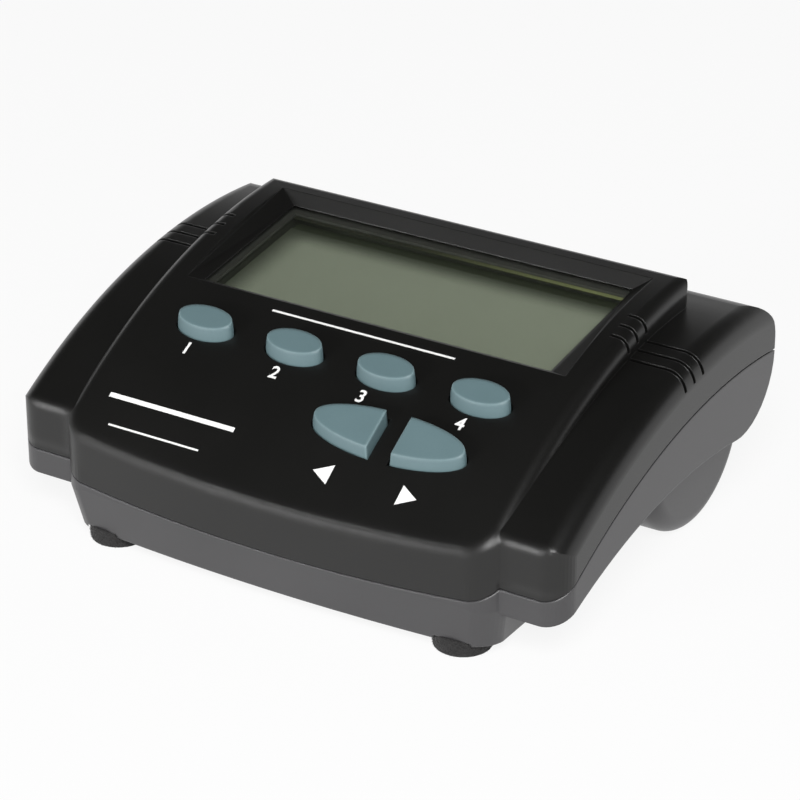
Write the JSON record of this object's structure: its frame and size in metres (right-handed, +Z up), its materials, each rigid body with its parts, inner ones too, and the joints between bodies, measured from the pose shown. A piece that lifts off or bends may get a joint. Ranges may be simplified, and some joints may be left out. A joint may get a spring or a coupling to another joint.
{
  "type": "caller id box",
  "caption": "Desktop caller display with a curved black panel, a sunk liquid crystal window, push keys, rear telephone sockets and a battery bay underneath.",
  "frame": {"origin": "middle of the footprint, on the table under the feet and the barrel", "axes": "+X to the right seen from the front, +Y from the front to the rear, +Z up"},
  "size_m": [0.11, 0.08, 0.0449],
  "materials": {
    "case": "semi-gloss black moulding with a fine grain",
    "keys": "satin blue-grey moulding",
    "feet": "black foam rubber",
    "lens": "clear polished sheet",
    "cell_glass": "grey-green display glass",
    "holder": "natural moulding",
    "strips": "soft silicone",
    "board": "green laminate",
    "chip": "black moulding",
    "plunger": "ivory moulding",
    "contacts": "plated wire",
    "socket": "black moulding",
    "capacitor": "dipped coating",
    "cells": "printed sleeve over a metal can",
    "steel": "plated steel"
  },
  "bodies": {
    "housing": {"top_cover": "case", "bottom_cover": "case", "front_feet": "feet", "display_lens": "lens", "display_cell": "cell_glass", "display_holder": "holder", "contact_strips": "strips", "display_board": "board", "main_chip": "chip", "key_board": "board", "link_pins": "contacts", "switch_housings": "chip", "line_jack": "socket", "phone_jack": "socket", "jack_contacts": "contacts", "jack_board": "board", "line_capacitors": "capacitor", "battery_cells": "cells", "battery_springs": "steel", "battery_plates": "steel", "case_screws": "steel", "board_screws": "steel"},
    "battery_lid": {"battery_door": "case"},
    "first_key": {"key_1": "keys", "plunger_1": "plunger"},
    "second_key": {"key_2": "keys", "plunger_2": "plunger"},
    "third_key": {"key_3": "keys", "plunger_3": "plunger"},
    "fourth_key": {"key_4": "keys", "plunger_4": "plunger"},
    "left_arrow": {"key_left": "keys", "plunger_left": "plunger"},
    "right_arrow": {"key_right": "keys", "plunger_right": "plunger"}
  },
  "joints": [
    {"name": "battery_lid_hinge", "type": "hinge", "parent": "housing", "child": "battery_lid", "pos_m": [0, -0.00975, 0.0034], "axis": [-1, 0, 0], "range_deg": [0, 50]},
    {"name": "first_key_press", "type": "slide", "parent": "housing", "child": "first_key", "axis": [0, 0, -1], "range_m": [0, 0.0008], "stiffness_N_per_m": 1200, "springref_m": -0.0004},
    {"name": "second_key_press", "type": "slide", "parent": "housing", "child": "second_key", "axis": [0, 0, -1], "range_m": [0, 0.0008], "stiffness_N_per_m": 1200, "springref_m": -0.0004},
    {"name": "third_key_press", "type": "slide", "parent": "housing", "child": "third_key", "axis": [0, 0, -1], "range_m": [0, 0.0008], "stiffness_N_per_m": 1200, "springref_m": -0.0004},
    {"name": "fourth_key_press", "type": "slide", "parent": "housing", "child": "fourth_key", "axis": [0, 0, -1], "range_m": [0, 0.0008], "stiffness_N_per_m": 1200, "springref_m": -0.0004},
    {"name": "left_arrow_press", "type": "slide", "parent": "housing", "child": "left_arrow", "axis": [0, 0, -1], "range_m": [0, 0.0008], "stiffness_N_per_m": 1200, "springref_m": -0.0004},
    {"name": "right_arrow_press", "type": "slide", "parent": "housing", "child": "right_arrow", "axis": [0, 0, -1], "range_m": [0, 0.0008], "stiffness_N_per_m": 1200, "springref_m": -0.0004}
  ]
}
